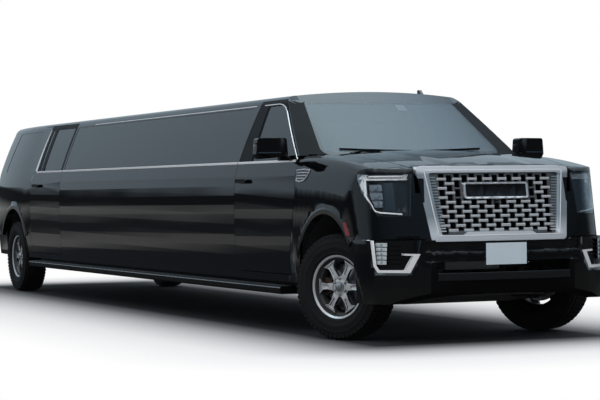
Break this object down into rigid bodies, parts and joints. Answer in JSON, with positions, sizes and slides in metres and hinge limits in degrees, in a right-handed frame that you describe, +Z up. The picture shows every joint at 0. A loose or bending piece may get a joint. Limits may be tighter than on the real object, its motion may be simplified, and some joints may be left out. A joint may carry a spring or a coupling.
{
  "type": "stretch limousine",
  "caption": "Stretch limousine on a full-size utility vehicle: long hollow cabin with dark glass, swinging doors, opening bonnet and liftgate, steered and rolling wheels.",
  "frame": {"origin": "on the ground under the middle of the vehicle", "axes": "+X forward, +Y to the vehicle's left, +Z up"},
  "size_m": [11.002, 2.5826, 1.972],
  "materials": {
    "paint_black": "deep gloss black paint",
    "gloss_black": "gloss black plastic",
    "plastic_black": "grained black plastic",
    "glass_dark": "dark tinted glass",
    "glass_screen": "lightly tinted glass",
    "lamp_clear": "clear lens",
    "lamp_red": "red lens",
    "chrome": "bright chrome",
    "plate_pale": "blank plate",
    "frame_black": "satin black",
    "cast_aluminium": "as cast",
    "iron": "machined and bare",
    "steel_brushed": "dull steel",
    "alloy": "machined and painted",
    "tyre": "black rubber",
    "seat_leather": "black leather",
    "carpet": "dark carpet on the floor pan",
    "cabinet_wood": "dark veneer"
  },
  "bodies": {
    "root": {"body_side_left": "paint_black", "body_side_right": "paint_black", "roof_panel": "paint_black", "side_windows": "glass_dark", "windscreen": "glass_screen", "front_wings": "paint_black", "headlamps": "lamp_clear", "headlamp_units": "gloss_black", "lower_bezels": "chrome", "front_bumper": "paint_black", "grille_surround": "chrome", "grille_mesh": "chrome", "number_plate": "plate_pale", "cowl_panel": "plastic_black", "tail_lamps": "lamp_red", "rear_bumper": "paint_black", "chassis_frame": "frame_black", "cabin_floor": "carpet", "wheel_arch_liners": "plastic_black", "running_boards": "plastic_black", "engine_block": "cast_aluminium", "gearbox_and_propeller_shaft": "cast_aluminium", "rear_axle_housing": "iron", "fuel_tank": "plastic_black", "exhaust_system": "steel_brushed", "suspension": "iron", "front_seats": "seat_leather", "lounge_seats": "seat_leather", "bar_cabinet": "cabinet_wood", "partition": "cabinet_wood", "dashboard": "plastic_black", "steering_wheel": "plastic_black", "roof_antenna": "gloss_black"},
    "steer_left": {"knuckle_left": "iron"},
    "steer_right": {"knuckle_right": "iron"},
    "door_front_left": {"front_door_left": "paint_black", "front_door_glass_left": "glass_dark", "mirror_left": "gloss_black"},
    "door_front_right": {"front_door_right": "paint_black", "front_door_glass_right": "glass_dark", "mirror_right": "gloss_black"},
    "door_rear_left": {"rear_door_left": "paint_black", "rear_door_glass_left": "glass_dark"},
    "door_rear_right": {"rear_door_right": "paint_black", "rear_door_glass_right": "glass_dark"},
    "bonnet_lid": {"bonnet": "paint_black"},
    "liftgate_lid": {"liftgate": "paint_black", "liftgate_glass": "glass_dark"},
    "wheel_set_front_left": {"wheel_front_left": "alloy", "tyre_front_left": "tyre", "brake_disc_front_left": "iron"},
    "wheel_set_front_right": {"wheel_front_right": "alloy", "tyre_front_right": "tyre", "brake_disc_front_right": "iron"},
    "wheel_set_rear_left": {"wheel_rear_left": "alloy", "tyre_rear_left": "tyre", "brake_disc_rear_left": "iron"},
    "wheel_set_rear_right": {"wheel_rear_right": "alloy", "tyre_rear_right": "tyre", "brake_disc_rear_right": "iron"}
  },
  "joints": [
    {"name": "steering_left", "type": "hinge", "parent": "root", "child": "steer_left", "pos_m": [4.539, 0.795, 0.401], "axis": [0, 0, 1], "range_deg": [-59, 7]},
    {"name": "steering_right", "type": "hinge", "parent": "root", "child": "steer_right", "pos_m": [4.539, -0.795, 0.401], "axis": [0, 0, 1], "range_deg": [-59, 7]},
    {"name": "spin_front_left", "type": "hinge", "parent": "steer_left", "child": "wheel_set_front_left", "pos_m": [4.50568, 0.86331, 0.401], "axis": [-0.4384, 0.8988, 0], "continuous": true},
    {"name": "spin_front_right", "type": "hinge", "parent": "steer_right", "child": "wheel_set_front_right", "pos_m": [4.57232, -0.86331, 0.401], "axis": [-0.4384, 0.8988, 0], "continuous": true},
    {"name": "spin_rear_left", "type": "hinge", "parent": "root", "child": "wheel_set_rear_left", "pos_m": [-4.201, 0.869, 0.401], "axis": [0, 1, 0], "continuous": true},
    {"name": "spin_rear_right", "type": "hinge", "parent": "root", "child": "wheel_set_rear_right", "pos_m": [-4.201, -0.869, 0.401], "axis": [0, 1, 0], "continuous": true},
    {"name": "front_door_left_hinge", "type": "hinge", "parent": "root", "child": "door_front_left", "pos_m": [3.973, 1.024, 1], "axis": [0, 0, -1], "range_deg": [0, 65]},
    {"name": "rear_door_left_hinge", "type": "hinge", "parent": "root", "child": "door_rear_left", "pos_m": [-2.366, 1.024, 1], "axis": [0, 0, -1], "range_deg": [0, 65]},
    {"name": "front_door_right_hinge", "type": "hinge", "parent": "root", "child": "door_front_right", "pos_m": [3.973, -1.024, 1], "axis": [0, 0, 1], "range_deg": [0, 65]},
    {"name": "rear_door_right_hinge", "type": "hinge", "parent": "root", "child": "door_rear_right", "pos_m": [-2.366, -1.024, 1], "axis": [0, 0, 1], "range_deg": [0, 65]},
    {"name": "bonnet_hinge", "type": "hinge", "parent": "root", "child": "bonnet_lid", "pos_m": [4.069, 0, 1.44], "axis": [0, -1, 0], "range_deg": [0, 50]},
    {"name": "liftgate_hinge", "type": "hinge", "parent": "root", "child": "liftgate_lid", "pos_m": [-5.267, 0, 1.876], "axis": [0, 1, 0], "range_deg": [0, 80]}
  ],
  "couplings": [
    {"joint": "steering_right", "follows": "steering_left", "ratio": 1}
  ]
}
